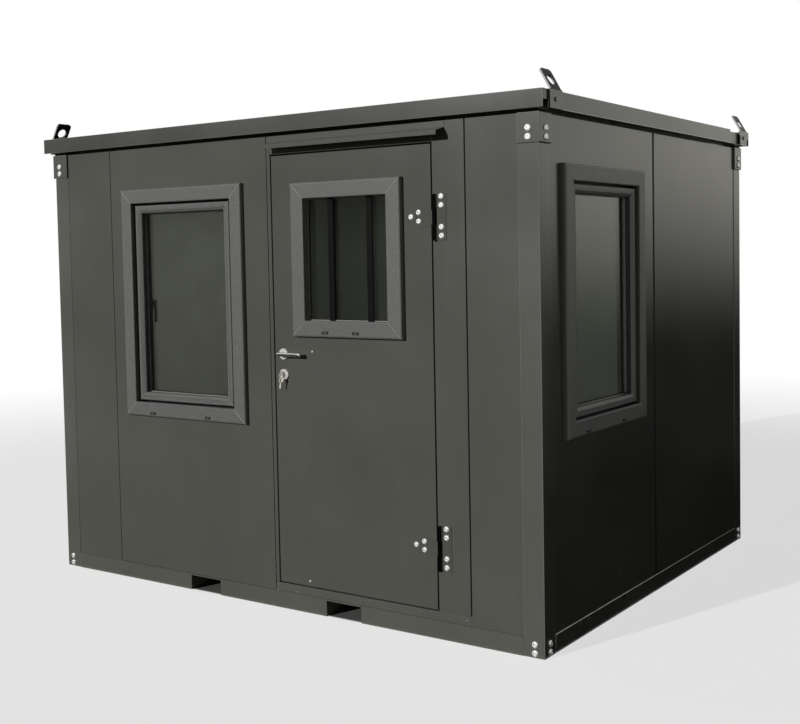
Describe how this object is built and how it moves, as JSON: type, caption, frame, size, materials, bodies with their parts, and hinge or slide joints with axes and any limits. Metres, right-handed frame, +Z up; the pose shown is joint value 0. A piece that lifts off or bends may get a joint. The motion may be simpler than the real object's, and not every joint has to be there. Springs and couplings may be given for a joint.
{
  "type": "insulated container cabin",
  "caption": "Small grey insulated container cabin with bolted corner posts, fork pockets, lifting lugs, two framed windows and a glazed door with a lever handle.",
  "frame": {"origin": "on the ground under the middle of the four corner posts", "axes": "+X to the right along the front wall, -Y out of the front wall that holds the door, +Z up"},
  "size_m": [3.099, 2.54, 2.4498],
  "materials": {
    "frame_paint": "satin",
    "wall_paint": "satin",
    "door_paint": "satin",
    "roof_sheet": "matte",
    "floor_board": "matte",
    "window_plastic": "matte",
    "glass": "clear",
    "lug_paint": "gloss",
    "hinge_steel": "satin",
    "satin_steel": "satin"
  },
  "bodies": {
    "cabin": {"base_rail_front": "frame_paint", "base_rail_back": "frame_paint", "base_rail_left": "frame_paint", "base_rail_right": "frame_paint", "base_cross_members": "frame_paint", "post_front_left": "frame_paint", "post_front_right": "frame_paint", "post_back_left": "frame_paint", "post_back_right": "frame_paint", "roof_corners": "frame_paint", "roof_edge_front": "frame_paint", "roof_edge_back": "frame_paint", "roof_edge_left": "frame_paint", "roof_edge_right": "frame_paint", "front_panel_left": "wall_paint", "front_panel_window": "wall_paint", "front_panel_right": "wall_paint", "right_panel_window": "wall_paint", "right_panel_plain": "wall_paint", "left_panel_front": "wall_paint", "left_panel_back": "wall_paint", "back_panel_left": "wall_paint", "back_panel_middle": "wall_paint", "back_panel_right": "wall_paint", "drip_rail": "wall_paint", "door_jamb_left": "door_paint", "door_jamb_right": "door_paint", "door_head": "door_paint", "door_sill": "door_paint", "roof_panel": "roof_sheet", "floor_panel": "floor_board", "front_window_trim": "window_plastic", "front_window_frame": "window_plastic", "front_window_sash": "window_plastic", "right_window_trim": "window_plastic", "right_window_frame": "window_plastic", "right_window_sash": "window_plastic", "front_window_glass": "glass", "right_window_glass": "glass", "lifting_lugs": "lug_paint", "hinge_frame_sides": "hinge_steel"},
    "door": {"door_leaf": "door_paint", "door_window_trim": "window_plastic", "door_window_glass": "glass", "hinge_leaf_sides": "hinge_steel", "lock_plates": "satin_steel"},
    "lever": {"door_lever": "satin_steel"}
  },
  "joints": [
    {"name": "door_hinge", "type": "hinge", "parent": "cabin", "child": "door", "pos_m": [0.984, -1.226, 1.131], "axis": [0, 0, 1], "range_deg": [0, 110]},
    {"name": "lever_turn", "type": "hinge", "parent": "door", "child": "lever", "pos_m": [0.113, -1.239, 1.235], "axis": [0, 1, 0], "range_deg": [0, 45], "stiffness_Nm_per_rad": 1.5, "springref_deg": -22.92}
  ]
}
